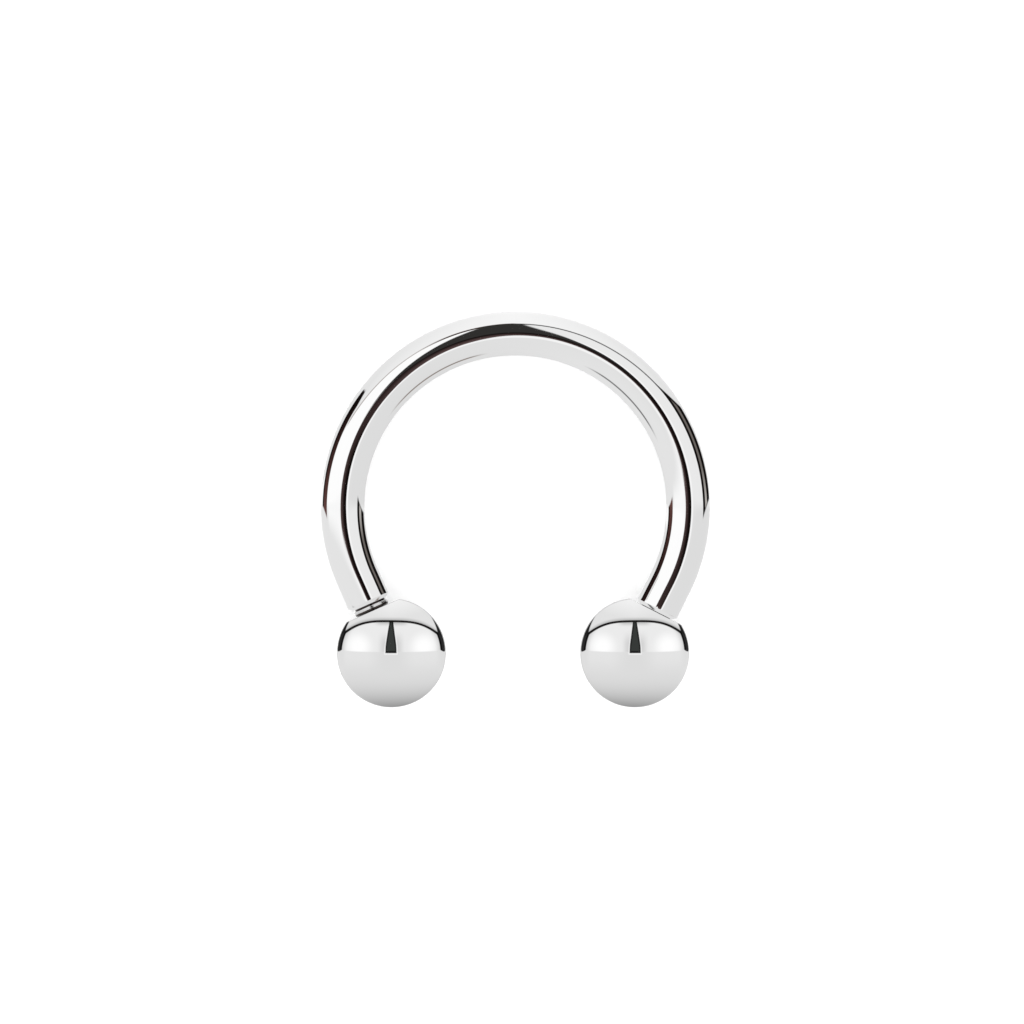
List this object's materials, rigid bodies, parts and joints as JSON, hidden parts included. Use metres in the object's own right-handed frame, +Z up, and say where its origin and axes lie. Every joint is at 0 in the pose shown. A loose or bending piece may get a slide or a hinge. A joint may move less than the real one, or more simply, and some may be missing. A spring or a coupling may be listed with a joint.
{
  "type": "horseshoe barbell",
  "caption": "Open ring of round polished steel bar with a screw-on ball at each end, lying on its side; the balls unscrew along their threaded posts.",
  "frame": {"origin": "on the surface that it lies on, below the middle of its box", "axes": "+Z up, across the ring; +Y from the balls towards the crown of the ring; +X from the left ball to the right ball, with the ring seen from above"},
  "size_m": [0.0142, 0.0144, 0.004],
  "materials": {
    "polished_bar": "polished",
    "polished_ball": "polished",
    "threaded_post": "satin"
  },
  "bodies": {
    "bar": {"curved_bar": "polished_bar"},
    "left_end": {"left_ball": "polished_ball", "left_post": "threaded_post"},
    "right_end": {"right_ball": "polished_ball", "right_post": "threaded_post"}
  },
  "joints": [
    {"name": "left_ball_unscrew", "type": "slide", "parent": "bar", "child": "left_end", "axis": [0.4051, -0.9095, 0.0935], "range_m": [-0.00026, 0.00174]},
    {"name": "right_ball_unscrew", "type": "slide", "parent": "bar", "child": "right_end", "axis": [-0.4525, -0.8871, 0.0912], "range_m": [0, 0.002]}
  ]
}
